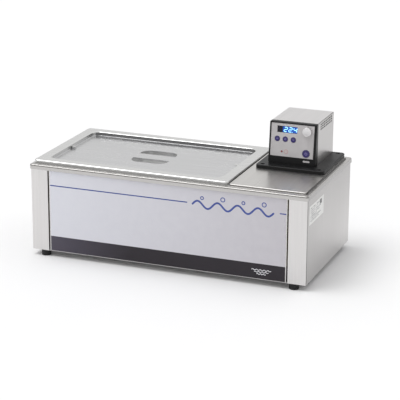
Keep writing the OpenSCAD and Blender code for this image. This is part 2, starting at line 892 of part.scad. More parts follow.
// Round pump chamber, open below, with a side outlet
module pump_housing() {
    color("silver") translate([shaft_x, shaft_y, pump_z]) difference() {
        union() {
            cylinder(r = pump_dia / 2, h = pump_h);
            translate([0, 0, pump_h / 2]) rotate([0, -90, 0]) cylinder(r = 9, h = pump_dia / 2 + 14);
        }
        translate([0, 0, pump_wall]) cylinder(r = pump_dia / 2 - pump_wall, h = pump_h - 2 * pump_wall);
        translate([0, 0, -1]) cylinder(r = 12, h = 10);
        translate([0, 0, pump_h - 5]) cylinder(r = shaft_r + 1, h = 20);
        translate([-pump_dia / 2 + 4, 0, pump_h / 2]) rotate([0, -90, 0]) cylinder(r = 7, h = 40);
    }
}

// Heaters: an outer ring and, above it, an inner one. Each has two legs that rise
// from its ends, behind the shaft on the outer ring and in front on the inner one.
heaters = [[heater_r, pump_z + 48, 90, 60], [heater_r - 11, pump_z + 66, -90, 90]];
bend_r = 10;

// Where the leg on side s of a heater stands
function leg_place(h, s) = let (r = h[0], a = h[2] + s * h[3] / 2)
    [shaft_x + r * cos(a) + s * bend_r * sin(a), shaft_y + r * sin(a) - s * bend_r * cos(a)];

heater_legs = [for (h = heaters, s = [-1, 1]) leg_place(h, s)];

module heater_tube() {
    circle(d = heater_dia, $fn = 24);
}

// Bend up from the ring's end and the straight leg above it, on side s of the gap
module heater_leg(h, s) {
    rotate(s * h[3] / 2) translate([h[0], 0]) mirror([0, s > 0 ? 1 : 0, 0]) {
        translate([0, 0, bend_r]) rotate([90, 90, 90]) rotate_extrude(angle = 90)
            translate([bend_r, 0]) heater_tube();
        translate([0, bend_r, bend_r]) cylinder(d = heater_dia, h = base_top + 6 - h[1] - bend_r, $fn = 24);
    }
}

module heater_elements() {
    color("silver") for (h = heaters) translate([shaft_x, shaft_y, h[1]]) rotate(h[2]) {
        rotate(h[3] / 2) rotate_extrude(angle = 360 - h[3]) translate([h[0], 0]) heater_tube();
        for (s = [-1, 1]) heater_leg(h, s);
    }
}

module heater_glands() {
    color("silver") for (p = heater_legs) translate([p.x, p.y, bridge_top]) difference() {
        cylinder(r = 7, h = base_t);
        translate([0, 0, -1]) cylinder(r = heater_dia / 2 + 0.02, h = base_t + 2);
    }
}

module temperature_probe() {
    color("silver") translate([probe_x, wet_y, 110]) {
        cylinder(r = 2.5, h = base_top - 110);
        sphere(2.5);
        translate([0, 0, bridge_top - 110]) cylinder(r = 3, h = base_t + 5);
    }
}

module float_rod() {
    color("silver") translate([float_x, wet_y, float_z - 6])
        cylinder(r = float_rod_r, h = base_top + 4 - float_z + 6);
}

module float_clip() {
    color("silver") for (z = [float_z - 2, float_z + float_h + float_travel])
    translate([float_x, wet_y, z]) difference() {
        cylinder(r = 5, h = 2);
        translate([0, 0, -1]) cylinder(r = float_rod_r, h = 4);
    }
}

module level_float() {
    color("white") translate([float_x, wet_y, float_z]) difference() {
        cylinder(r = float_r, h = float_h);
        translate([0, 0, -1]) cylinder(r = float_rod_r + play, h = float_h + 2);
    }
}

side_panel_left();
side_panel_right();
front_panel();
front_overlay();
back_panel();
back_panel_screws();
base_pan();
rubber_feet();
foot_screws();
tank();
insulation();
rating_label();
lid_pan();
lid_handle_cup();
bridge_plate();
head_base_plate();
base_plate_screws();
front_bezel();
faceplate();
display_window();
display_module();
control_board();
board_screws();
tact_switches();
status_led();
ring_indicator();
encoder_body();
encoder_plunger();
encoder_shaft();
control_knob();
menu_button_left();
menu_button_middle();
menu_button_right();
power_button();
head_cover();
rear_panel();
rear_panel_screws();
power_inlet();
fuse_holder();
power_supply();
heater_relay();
motor_bracket();
pump_motor();
cooling_fan();
drive_shaft();
impeller();
support_tube();
shaft_bush();
pump_housing();
heater_elements();
heater_glands();
temperature_probe();
float_rod();
float_clip();
level_float();
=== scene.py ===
"""Looks of the sous vide bath: materials, printed marks, display, keys, knob and studio."""
import math

import bmesh
import bpy
from mathutils import Matrix, Vector


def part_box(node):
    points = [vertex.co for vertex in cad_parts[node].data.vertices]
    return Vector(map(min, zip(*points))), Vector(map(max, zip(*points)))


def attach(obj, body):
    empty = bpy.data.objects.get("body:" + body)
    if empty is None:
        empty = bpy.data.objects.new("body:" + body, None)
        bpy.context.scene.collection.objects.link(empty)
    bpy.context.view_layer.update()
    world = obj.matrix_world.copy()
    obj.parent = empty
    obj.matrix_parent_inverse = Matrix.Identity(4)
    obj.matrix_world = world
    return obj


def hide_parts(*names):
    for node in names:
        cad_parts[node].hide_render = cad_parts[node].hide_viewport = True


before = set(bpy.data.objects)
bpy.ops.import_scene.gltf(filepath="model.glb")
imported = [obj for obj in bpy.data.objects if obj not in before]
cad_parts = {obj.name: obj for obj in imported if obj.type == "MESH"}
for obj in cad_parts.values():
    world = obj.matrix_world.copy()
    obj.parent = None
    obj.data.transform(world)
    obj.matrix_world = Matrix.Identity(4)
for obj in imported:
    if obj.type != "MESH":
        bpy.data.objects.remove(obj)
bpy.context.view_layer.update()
MM = 0.001

# The film's print: heights above its lower edge, and places along X from the frame's middle
STRIP_H = 41 * MM
LINE_Z = 182.5 * MM
LINE_T = 3 * MM
LINE_GAP_LEFT = 12 * MM
LINE_GAP_RIGHT = 14 * MM
MOTIF_X0 = 74 * MM
MOTIF_X1 = 300 * MM
MOTIF_Z = 180.5 * MM
STRIP_MARK_X = 267 * MM
STRIP_MARK_Z = 24 * MM
PRINT_T = 0.12 * MM

# The control face leans back by FACE_LEAN over FACE_H, about the bezel's upper front edge
FACE_LEAN = 12
FACE_H = 111.5
LEAN = math.atan(FACE_LEAN / FACE_H)
BEZEL_DEPTH = 10 * MM
HEAD_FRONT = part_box("head_cover")[0].y - BEZEL_DEPTH

# Keys and knob
FLANGE_R = 0.8 * MM
FLANGE_T = 1.2 * MM
KEY_DEPTH = 3 * MM
STEM_R = 1.8 * MM
KNOB_BORE_R = 3.02 * MM
KNOB_FACE_T = 2 * MM

# A sheet with a foot tone of painted light turns to it between these heights
FOOT_TONE_Z = 20 * MM
FULL_TONE_Z = 240 * MM

# A metre, which is past the object on every side
FAR = 1


# ---------- node helpers ----------

class Paint:
    """Builds one node material. Coordinates are the row frame's, in metres."""

    def __init__(self, name, metallic=0.0, roughness=0.5, specular=0.5, coat=0.0, coat_roughness=0.1):
        self.material = bpy.data.materials.new(name)
        self.material.use_nodes = True
        self.tree = self.material.node_tree
        self.shader = self.tree.nodes["Principled BSDF"]
        self.shader.inputs["Metallic"].default_value = metallic
        self.shader.inputs["Roughness"].default_value = roughness
        self.shader.inputs["Specular IOR Level"].default_value = specular
        self.shader.inputs["Coat Weight"].default_value = coat
        self.shader.inputs["Coat Roughness"].default_value = coat_roughness
        self.place = self.node("ShaderNodeTexCoord").outputs["Object"]

    def node(self, kind, **settings):
        made = self.tree.nodes.new(kind)
        for key, value in settings.items():
            setattr(made, key, value)
        return made

    def feed(self, socket, value):
        """Sets a socket to a number or colour, or links it to another socket."""
        if isinstance(value, bpy.types.NodeSocket):
            self.tree.links.new(value, socket)
        else:
            socket.default_value = value

    def math(self, operation, a, b=0.0, clamp=False):
        made = self.node("ShaderNodeMath", operation=operation, use_clamp=clamp)
        self.feed(made.inputs[0], a)
        self.feed(made.inputs[1], b)
        return made.outputs[0]

    def axis(self, name):
        split = self.node("ShaderNodeSeparateXYZ")
        self.feed(split.inputs[0], self.place)
        return split.outputs[name]

    def noise(self, scale=(1, 1, 1), detail=3.0, rough=0.5, size=1.0):
        """Noise from 0 to 1, stretched by scale along x, y and z."""
        stretch = self.node("ShaderNodeMapping")
        self.feed(stretch.inputs["Vector"], self.place)
        self.feed(stretch.inputs["Scale"], scale)
        made = self.node("ShaderNodeTexNoise")
        self.feed(made.inputs["Vector"], stretch.outputs[0])
        self.feed(made.inputs["Scale"], size)
        self.feed(made.inputs["Detail"], detail)
        self.feed(made.inputs["Roughness"], rough)
        return made.outputs["Fac"]

    def span(self, value, low, high, to_low, to_high):
        """Maps value from low..high to to_low..to_high, clamped."""
        made = self.node("ShaderNodeMapRange")
        for socket, number in zip(made.inputs, (value, low, high, to_low, to_high)):
            self.feed(socket, number)
        return made.outputs[0]

    def mix(self, factor, a, b):
        made = self.node("ShaderNodeMix", data_type="RGBA")
        self.feed(made.inputs[0], factor)
        self.feed(made.inputs[6], a)
        self.feed(made.inputs[7], b)
        return made.outputs[2]

    def inside(self, value, low, high):
        """1 where value lies between low and high, else 0."""
        above = self.math("GREATER_THAN", value, low)
        below = self.math("LESS_THAN", value, high)
        return self.math("MULTIPLY", above, below)

    def colour(self, value):
        self.feed(self.shader.inputs["Base Color"], value)
        return self

    def rough(self, value):
        self.feed(self.shader.inputs["Roughness"], value)
        return self

    def bump(self, height, distance, strength=1.0):
        made = self.node("ShaderNodeBump")
        self.feed(made.inputs["Height"], height)
        self.feed(made.inputs["Distance"], distance)
        self.feed(made.inputs["Strength"], strength)
        self.feed(self.shader.inputs["Normal"], made.outputs[0])
        return self

    def glow(self, value, strength):
        self.feed(self.shader.inputs["Emission Color"], value)
        self.feed(self.shader.inputs["Emission Strength"], strength)
        return self


def srgb(r, g, b):
    """Linear colour with alpha from 0..255 screen values."""
    def linear(v):
        v /= 255
        return v / 12.92 if v <= 0.04045 else ((v + 0.055) / 1.055) ** 2.4
    return (linear(r), linear(g), linear(b), 1.0)


def shade(colour, factor):
    return tuple(c * factor for c in colour[:3]) + (1.0,)


# ---------- materials ----------

def brushed_steel(name, colour, grain, low=0.2, high=0.34, depth=0.000012, areas=(), foot=None):
    """Stainless sheet. grain is the axis, 0 to 2, that the brush marks follow. areas holds
    (lowest corner, highest corner, colour) boxes of painted light or painted shade on the
    sheet. foot is the tone of painted light that the sheet turns to towards the floor."""
    p = Paint(name, metallic=1.0)
    fine = [1400.0] * 3
    fine[grain] = 9.0
    coarse = [160.0] * 3
    coarse[grain] = 3.0
    lines = p.noise(tuple(fine), detail=2.0)
    bands = p.noise(tuple(coarse), detail=3.0)
    clouds = p.noise((5, 5, 5), detail=4.0)
    tone = p.math("ADD", p.math("MULTIPLY", lines, 0.5), p.math("MULTIPLY", bands, 0.5))
    base = colour
    # Painted light: the sheet lightens towards the floor
    if foot:
        base = p.mix(p.span(p.axis("Z"), FOOT_TONE_Z, FULL_TONE_Z, 0, 1), foot, colour)
    for corner, far_corner, other in areas:
        within = 1.0
        for i, axis in enumerate("XYZ"):
            within = p.math("MULTIPLY", within, p.inside(p.axis(axis), corner[i], far_corner[i]))
        base = p.mix(within, base, other)
    grey = p.span(tone, 0.3, 0.7, 0.93, 1.04)
    sheet = p.node("ShaderNodeMix", data_type="RGBA", blend_type="MULTIPLY")
    p.feed(sheet.inputs[0], 1.0)
    p.feed(sheet.inputs[6], base)
    p.feed(sheet.inputs[7], grey)
    p.colour(sheet.outputs[2])
    wear = p.math("ADD", p.math("MULTIPLY", tone, 0.6), p.math("MULTIPLY", clouds, 0.4))
    p.rough(p.span(wear, 0.3, 0.7, low, high))
    p.bump(lines, depth, 0.5)
    return p.material


def moulded(name, colour, roughness, grain_size=1800.0, depth=0.00004, coat=0.0, specular=0.5):
    """Moulded plastic or powder coat with a fine pebble and faint colour clouds."""
    p = Paint(name, specular=specular, coat=coat, coat_roughness=0.15)
    pebble = p.noise((1, 1, 1), detail=2.0, size=grain_size)
    clouds = p.noise((1, 1, 1), detail=4.0, size=25.0)
    p.colour(p.mix(clouds, shade(colour, 0.85), shade(colour, 1.15)))
    p.rough(p.span(clouds, 0.3, 0.7, roughness * 0.88, roughness * 1.12))
    p.bump(pebble, depth, 0.6)
    return p.material


def printed_front():
    """Film of the front panel: pale ground, dark foot strip, thin blue lines."""
    low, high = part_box("front_overlay")
    p = Paint("front_film", roughness=0.32, specular=0.2)
    x = p.axis("X")
    z = p.axis("Z")
    along = p.span(x, low[0], high[0], 0, 1)
    fibre = p.noise((60, 60, 60), detail=3.0)
    film = p.mix(along, srgb(227, 228, 236), srgb(203, 200, 206))
    ground = p.mix(p.span(fibre, 0.3, 0.7, 0, 0.06), film, srgb(255, 255, 255))
    strip = p.mix(p.span(along, 0, 0.35, 0, 1), srgb(86, 82, 94), srgb(52, 48, 53))
    colour = p.mix(p.math("LESS_THAN", z, low[2] + STRIP_H), ground, strip)
    line_z = low[2] + LINE_Z
    on_line = p.inside(z, line_z - LINE_T / 2, line_z + LINE_T / 2)
    left_run = p.math("LESS_THAN", x, MOTIF_X0 - LINE_GAP_LEFT)
    right_run = p.math("GREATER_THAN", x, MOTIF_X1 + LINE_GAP_RIGHT)
    runs = p.math("MULTIPLY", on_line, p.math("ADD", left_run, right_run))
    colour = p.mix(runs, colour, srgb(58, 76, 150))
    p.colour(colour)
    p.rough(p.span(fibre, 0.3, 0.7, 0.28, 0.36))
    p.bump(p.noise((1, 1, 1), size=2200.0), 0.00001, 0.4)
    return p.material


def printed_label():
    """White film with plain grey bars and one dark square, as a rating plate has."""
    low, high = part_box("rating_label")
    p = Paint("label_film", roughness=0.45)
    y = p.span(p.axis("Y"), low[1], high[1], 0, 1)
    z = p.span(p.axis("Z"), low[2], high[2], 0, 1)
    line = p.math("MULTIPLY", z, 9.0)
    rows = p.inside(p.math("FRACT", line), 0.3, 0.78)
    rag = p.math("FRACT", p.math("MULTIPLY", p.math("FLOOR", line), 0.37))
    length = p.math("ADD", 0.5, p.math("MULTIPLY", rag, 0.4))
    words = p.math("GREATER_THAN", p.noise((1, 260, 90), detail=1.0), 0.42)
    across = p.math("MULTIPLY", p.math("GREATER_THAN", y, 0.08), p.math("LESS_THAN", y, length))
    bars = p.math("MULTIPLY", p.math("MULTIPLY", rows, words), across)
    bars = p.math("MULTIPLY", bars, p.inside(z, 0.08, 0.9))
    square = p.math("MULTIPLY", p.inside(y, 0.72, 0.86), p.inside(z, 0.66, 0.9))
    paper = p.noise((1, 1, 1), size=300.0)
    ground = p.mix(paper, srgb(228, 228, 226), srgb(238, 238, 236))
    marked = p.mix(bars, ground, srgb(150, 150, 152))
    p.colour(p.mix(square, marked, srgb(90, 90, 92)))
    p.rough(p.span(paper, 0.3, 0.7, 0.4, 0.5))
    p.bump(paper, 0.00002, 0.3)
    return p.material


def display_lens():
    """Dark lens whose right part is lit blue from behind."""
    low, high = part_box("display_window")
    p = Paint("display_lens", roughness=0.12, specular=0.3)
    x = p.span(p.axis("X"), low[0], high[0], 0, 1)
    z = p.span(p.axis("Z"), low[2], high[2], 0, 1)
    lit = p.span(x, 0.24, 0.31, 0, 1)
    band = p.math("MULTIPLY", lit, p.inside(z, 0.06, 0.94))
    cells = p.noise((420, 1, 420), detail=2.0)
    p.colour(p.mix(band, srgb(12, 12, 30), srgb(14, 40, 110)))
    blue = p.mix(p.span(cells, 0.35, 0.65, 0, 1), srgb(10, 62, 150), srgb(24, 96, 190))
    p.glow(p.mix(band, (0, 0, 0, 1), blue), 0.9)
    p.rough(p.span(cells, 0.3, 0.7, 0.08, 0.16))
    return p.material


def glowing(name, colour, strength):
    """Lit part with slightly uneven brightness."""
    p = Paint(name, roughness=0.3)
    uneven = p.noise((1, 1, 1), size=500.0)
    p.colour(shade(colour, 0.6))
    p.glow(p.mix(uneven, shade(colour, 0.85), colour), strength)
    return p.material


def circuit_board():
    p = Paint("board_green", roughness=0.4, coat=0.3)
    tracks = p.noise((300, 1, 40), detail=1.0)
    p.colour(p.mix(p.math("GREATER_THAN", tracks, 0.55), srgb(16, 74, 44), srgb(30, 104, 60)))
    p.bump(tracks, 0.00003, 0.4)
    return p.material


def fibre_board():
    p = Paint("fibre_board", roughness=0.9, specular=0.2)
    fibres = p.noise((90, 700, 700), detail=5.0)
    p.colour(p.mix(fibres, srgb(196, 182, 120), srgb(232, 222, 176)))
    p.bump(fibres, 0.0006, 0.8)
    return p.material


def studio_floor():
    p = Paint("studio_floor", roughness=0.8, specular=0.1)
    cloud = p.noise((1, 1, 1), size=1.5)
    p.colour(p.mix(cloud, (0.86, 0.86, 0.87, 1), (0.9, 0.9, 0.9, 1)))
    return p.material


def assign(material, *nodes):
    for node in nodes:
        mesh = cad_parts[node].data
        mesh.materials.clear()
        mesh.materials.append(material)


def grown(node, x=0.0, y=0.0, z=0.0):
    """Box of a node, made larger by x, y and z millimetres on every side."""
    corner, far_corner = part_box(node)
    grow = Vector((x, y, z)) * MM
    return corner - grow, far_corner + grow


def zone(colour, x=(-FAR, FAR), y=(-FAR, FAR), z=(-FAR, FAR)):
    """Area of painted light or painted shade for brushed_steel. A direction left out isn't limited."""
    return (x[0], y[0], z[0]), (x[1], y[1], z[1]), colour


CASE_LOW, CASE_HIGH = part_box("side_panel_right")
LID_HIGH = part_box("lid_pan")[1]
RIM_LOW, RIM_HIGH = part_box("tank")
BRIDGE_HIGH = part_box("bridge_plate")[1]
COVER_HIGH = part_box("head_cover")[1]

# Casing: painted light on its front faces, and painted shade on the bend where the right side begins
front_edge = CASE_LOW.y + 1.6 * MM
front_faces_painted_light = zone(srgb(222, 220, 219), y=(CASE_LOW.y - 1 * MM, front_edge))
fold_painted_shade = zone(srgb(122, 120, 119), x=(CASE_HIGH.x - 1 * MM, CASE_HIGH.x + 1 * MM),
                 y=(front_edge, CASE_LOW.y + 6 * MM))

# Lid: painted light on all above its recessed panel, and painted shade on the recess's wall at the back
lid_top_painted_light = zone(srgb(225, 225, 224), z=(LID_HIGH.z - 8.5 * MM, FAR))
lid_back_wall_painted_shade = zone(srgb(150, 150, 151), y=(LID_HIGH.y - 37 * MM, LID_HIGH.y - 30.6 * MM),
                     z=(LID_HIGH.z - 11.6 * MM, LID_HIGH.z - 1.5 * MM))

# Tank: painted shade on the rim's front bend and its right skirt, and painted light on the walls and
# floor inside
rim_bend_painted_shade = zone(srgb(158, 156, 154), y=(RIM_LOW.y - 1 * MM, RIM_LOW.y + 6 * MM),
                z=(RIM_HIGH.z - 4.5 * MM, FAR))
rim_right_painted_shade = zone(srgb(164, 162, 161), x=(RIM_HIGH.x - 1 * MM, FAR), z=(-FAR, RIM_HIGH.z - 3 * MM))
tank_inside_painted_light = (*grown("tank", -25, -25, -3), srgb(243, 242, 239))

# Bridge plate: painted shade on the bend and skirt below its top face, and on its right edge
bridge_fold_painted_shade = zone(srgb(172, 170, 168), z=(-FAR, BRIDGE_HIGH.z - 0.6 * MM))
bridge_side_painted_shade = zone(srgb(84, 82, 81), x=(BRIDGE_HIGH.x - 3 * MM, FAR))

# Head cover: painted light on its top face, and painted shade on its inside and on the cut walls of its
# vents
cover_top_painted_light = zone(srgb(226, 224, 224), z=(COVER_HIGH.z - 0.8 * MM, FAR))
cover_inside_painted_shade = (*grown("head_cover", -0.9, 1, -0.9), srgb(8, 8, 9))
vent_walls_painted_shade = (*grown("head_cover", -0.15, 1, -5), srgb(8, 8, 9))

# Casing steel: darker than the front panel's, which is painted shade on the sides, with painted light at
# its foot and front faces
casing_steel = brushed_steel("casing_steel", srgb(177, 175, 174), 2, 0.24, 0.38,
                             areas=(front_faces_painted_light, fold_painted_shade), foot=srgb(212, 210, 209))
panel_steel = brushed_steel("panel_steel", srgb(212, 210, 209), 0)
rim_steel = brushed_steel("rim_steel", srgb(196, 194, 192), 0, 0.2, 0.32,
                          areas=(rim_bend_painted_shade, rim_right_painted_shade, tank_inside_painted_light))
lid_steel = brushed_steel("lid_steel", srgb(214, 214, 215), 0, 0.18, 0.32, areas=(lid_top_painted_light, lid_back_wall_painted_shade))
# Handle cup: the lid's steel in a lighter tone of its own, painted light
cup_steel_painted_light = brushed_steel("cup_steel_painted_light", srgb(236, 236, 236), 0, 0.24, 0.38)
plate_steel = brushed_steel("plate_steel", srgb(214, 212, 209), 1, 0.26, 0.38,
                            areas=(bridge_fold_painted_shade, bridge_side_painted_shade))
cover_steel = brushed_steel("cover_steel", srgb(190, 188, 187), 1, 0.26, 0.4,
                            areas=(cover_top_painted_light, cover_inside_painted_shade, vent_walls_painted_shade))
wet_steel = brushed_steel("wet_steel", srgb(214, 212, 208), 2, 0.12, 0.24)
screw_steel = brushed_steel("screw_steel", srgb(205, 203, 200), 1, 0.2, 0.35)
brass = brushed_steel("brass", srgb(205, 170, 105), 2, 0.22, 0.36)
face_silver = moulded("face_silver", srgb(203, 200, 201), 0.42, 2600, 0.00001, specular=0.3)
black_moulding = moulded("black_moulding", srgb(24, 24, 25), 0.38, specular=0.25)
bezel_black = moulded("bezel_black", srgb(28, 28, 29), 0.34, specular=0.2)
rear_black = moulded("rear_black", srgb(38, 38, 40), 0.5, 1200, 0.00006)
foot_rubber = moulded("foot_rubber", srgb(26, 26, 27), 0.75, 900, 0.0001)
white_moulding = moulded("white_moulding", srgb(228, 228, 222), 0.45)
motor_paint = moulded("motor_paint", srgb(96, 96, 100), 0.4, 700, 0.00008)
transformer_tape = moulded("transformer_tape", srgb(196, 160, 64), 0.5)
black_screw = moulded("black_screw", srgb(40, 40, 42), 0.35)
red_lens = moulded("red_lens", srgb(132, 46, 52), 0.18, coat=0.6)
pale_lens = moulded("pale_lens", srgb(206, 196, 196), 0.25, coat=0.5)
key_navy = moulded("key_navy", srgb(44, 32, 104), 0.3, coat=0.35)
key_mark = moulded("key_mark", srgb(150, 140, 205), 0.4)
ink_blue = moulded("ink_blue", srgb(60, 80, 156), 0.35)
ink_white = moulded("ink_white", srgb(236, 236, 240), 0.4)
ink_red = moulded("ink_red", srgb(196, 140, 140), 0.4)
knob_silver = brushed_steel("knob_silver", srgb(238, 236, 237), 1, 0.3, 0.42)

assign(casing_steel, "side_panel_left", "side_panel_right")
assign(panel_steel, "front_panel", "back_panel", "base_pan")
assign(rim_steel, "tank")
assign(lid_steel, "lid_pan")
assign(cup_steel_painted_light, "lid_handle_cup")
assign(plate_steel, "bridge_plate")
assign(cover_steel, "head_cover", "motor_bracket")
assign(wet_steel, "support_tube", "pump_housing", "heater_elements", "temperature_probe",
       "float_rod", "float_clip", "drive_shaft", "encoder_shaft")
assign(screw_steel, "back_panel_screws", "foot_screws", "board_screws", "rear_panel_screws")
assign(brass, "heater_glands")
assign(face_silver, "faceplate")
assign(black_moulding, "head_base_plate", "display_module", "tact_switches", "encoder_body",
       "power_inlet", "fuse_holder", "cooling_fan")
assign(bezel_black, "front_bezel")
assign(rear_black, "rear_panel")
assign(foot_rubber, "rubber_feet")
assign(white_moulding, "encoder_plunger", "impeller", "shaft_bush", "level_float", "heater_relay")
assign(motor_paint, "pump_motor")
assign(transformer_tape, "power_supply")
assign(black_screw, "base_plate_screws")
assign(red_lens, "status_led")
assign(pale_lens, "ring_indicator")
assign(printed_front(), "front_overlay")
assign(printed_label(), "rating_label")
assign(display_lens(), "display_window")
assign(circuit_board(), "control_board")
assign(fibre_board(), "insulation")


# ---------- mesh helpers ----------

def lean_matrix():
    """Turn that leans the control face back, about the head's upper front edge."""
    edge = Vector((0, HEAD_FRONT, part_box("front_bezel")[1].z))
    return Matrix.Translation(edge) @ Matrix.Rotation(-LEAN, 4, "X") @ Matrix.Translation(-edge)


def face_box(node):
    """Box of a control face part, measured as if the face stood upright."""
    upright = LEANING.inverted()
    points = [upright @ v.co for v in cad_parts[node].data.vertices]
    return (Vector([min(p[i] for p in points) for i in range(3)]),
            Vector([max(p[i] for p in points) for i in range(3)]))


LEANING = lean_matrix()


def add_piece(name, mesh_data, material, body, smooth=True, replaced=(), leaning=False):
    """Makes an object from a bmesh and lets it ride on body. leaning turns
    a mesh that was built on the upright face."""
    if leaning:
        mesh_data.transform(LEANING)
    bmesh.ops.recalc_face_normals(mesh_data, faces=mesh_data.faces)
    mesh = bpy.data.meshes.new(name)
    mesh_data.to_mesh(mesh)
    mesh_data.free()
    mesh.materials.append(material)
    if smooth:
        mesh.shade_smooth()
        mesh.set_sharp_from_angle(angle=math.radians(38))
    piece = bpy.data.objects.new(name, mesh)
    bpy.context.scene.collection.objects.link(piece)
    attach(piece, body)
    if replaced:
        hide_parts(*replaced)
    return piece


def prism(build, outline, y_front, thickness):
    """Closed plate facing -Y from an outline of (x, z) points."""
    rings = []
    for y in (y_front, y_front + thickness):
        rings.append([build.verts.new((x, y, z)) for x, z in outline])
    count = len(outline)
    build.faces.new(rings[0])
    build.faces.new(list(reversed(rings[1])))
    for i in range(count):
        j = (i + 1) % count
        build.faces.new((rings[0][i], rings[1][i], rings[1][j], rings[0][j]))


def ribbon(build, path, width, y_front, thickness, closed=False):
    """Plate of even width along a path of (x, z) points, with round ends if open."""
    points = [Vector(p) for p in path]
    count = len(points)
    left, right = [], []
    for i, point in enumerate(points):
        before = points[(i - 1) % count] if closed or i else point
        after = points[(i + 1) % count] if closed or i < count - 1 else point
        run = (after - before).normalized()
        side = Vector((-run.y, run.x)) * width / 2
        left.append(point + side)
        right.append(point - side)
    if not closed:
        outline = left + cap(points[-1], left[-1]) + right[::-1] + cap(points[0], right[0])
        prism(build, outline, y_front, thickness)
        return
    loops = []
    for line in (left, right):
        loops.append([[build.verts.new((p.x, y, p.y)) for p in line]
                      for y in (y_front, y_front + thickness)])
    for i in range(count):
        j = (i + 1) % count
        (lf, lb), (rf, rb) = loops
        build.faces.new((lf[i], lf[j], rf[j], rf[i]))
        build.faces.new((lb[i], rb[i], rb[j], lb[j]))
        build.faces.new((lf[i], lb[i], lb[j], lf[j]))
        build.faces.new((rf[i], rf[j], rb[j], rb[i]))


def cap(middle, start, steps=8):
    """Points of the half circle that turns from start round middle, without its two ends."""
    arm = start - middle
    turned = []
    for i in range(1, steps):
        angle = -math.pi * i / steps
        turned.append(middle + Vector((arm.x * math.cos(angle) - arm.y * math.sin(angle),
                                       arm.x * math.sin(angle) + arm.y * math.cos(angle))))
    return turned


def arc(cx, cz, radius, start=0.0, end=360.0, steps=40):
    """Points on an arc, in degrees. A full circle leaves out the repeated last point."""
    full = abs(end - start) >= 360
    last = steps if full else steps + 1
    return [(cx + radius * math.cos(math.radians(start + (end - start) * i / steps)),
             cz + radius * math.sin(math.radians(start + (end - start) * i / steps)))
            for i in range(last)]


def wave(x0, x1, z, height, periods, steps=96):
    """Sine line from x0 to x1."""
    return [(x0 + (x1 - x0) * i / steps,
             z + height * math.sin(2 * math.pi * periods * i / steps)) for i in range(steps + 1)]


def lathe(profile, at, turns=64, ripple=None):
    """Closed solid turned about an axis along Y through at. profile holds (radius, y)
    pairs from pole to pole, y from at. ripple(radius, y, angle) may change a radius."""
    build = bmesh.new()
    rings = []
    for radius, y in profile:
        if radius == 0:
            rings.append([build.verts.new((at.x, at.y + y, at.z))])
            continue
        ring = []
        for i in range(turns):
            angle = 2 * math.pi * i / turns
            r = ripple(radius, y, angle) if ripple else radius
            ring.append(build.verts.new((at.x + r * math.cos(angle), at.y + y,
                                         at.z + r * math.sin(angle))))
        rings.append(ring)
    for a, b in zip(rings, rings[1:]):
        for i in range(turns):
            j = (i + 1) % turns
            corners = [a[i % len(a)], a[j % len(a)], b[j % len(b)], b[i % len(b)]]
            build.faces.new(list(dict.fromkeys(corners)))
    return build


# ---------- printed marks ----------

def front_motif():
    """Blue wave with rising bubbles on the front film."""
    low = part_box("front_overlay")[0]
    y = low[1] - PRINT_T
    middle = low[2] + MOTIF_Z
    build = bmesh.new()
    ribbon(build, wave(MOTIF_X0 + 3 * MM, MOTIF_X1 - 3 * MM, middle, 9.5 * MM, 4), 5 * MM, y, PRINT_T)
    for x, z, radius in ((103, 18, 4.0), (160, 20, 5.5), (216, 18, 4.0), (272, 20, 5.5)):
        ribbon(build, arc(x * MM, middle + z * MM, radius * MM), 2.4 * MM, y, PRINT_T, closed=True)
    add_piece("front_wave_print", build, ink_blue, "cabinet", smooth=False)


def strip_motif():
    """Three short white waves on the dark foot strip, each narrower than the one above it."""
    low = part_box("front_overlay")[0]
    y = low[1] - PRINT_T
    build = bmesh.new()
    for row, half in enumerate((26 * MM, 19 * MM, 12 * MM)):
        z = low[2] + STRIP_MARK_Z - 5.5 * row * MM
        line = wave(STRIP_MARK_X - half, STRIP_MARK_X + half, z, 1.3 * MM, 5 - row, 60)
        ribbon(build, line, 1.7 * MM, y, PRINT_T)
    add_piece("strip_wave_print", build, ink_white, "cabinet", smooth=False)


def skirt_badge():
    """Blank silver badge on the head's black skirt."""
    low = face_box("faceplate")[0]
    build = bmesh.new()
    x = low[0] + 101 * MM
    z = low[2] - 8 * MM
    half = 7 * MM
    ribbon(build, [(x - half, z), (x, z), (x + half, z)], 4.5 * MM, HEAD_FRONT - 0.3 * MM, 0.4 * MM)
    add_piece("skirt_badge", build, face_silver, "circulator", leaning=True)


# ---------- display ----------

# The segments that light up for each figure, by their usual letters
SEGMENTS = {"2": "abged", "4": "fgbc"}


def segment_outline(kind, x, z, w, h, stroke):
    """Hexagon of one display segment. x, z is the digit's lower left corner."""
    gap = stroke * 0.12
    half = stroke / 2
    spots = {"a": (0, h), "g": (0, h / 2), "d": (0, 0)}
    if kind in spots:
        dx, dz = spots[kind]
        x0, x1, zc = x + dx + gap, x + w - gap, z + dz
        return [(x0, zc), (x0 + half, zc + half), (x1 - half, zc + half), (x1, zc),
                (x1 - half, zc - half), (x0 + half, zc - half)]
    xc = x if kind in "ef" else x + w
    z0 = z + (h / 2 if kind in "bf" else 0) + gap
    z1 = z0 + h / 2 - 2 * gap
    return [(xc, z0), (xc + half, z0 + half), (xc + half, z1 - half), (xc, z1),
            (xc - half, z1 - half), (xc - half, z0 + half)]


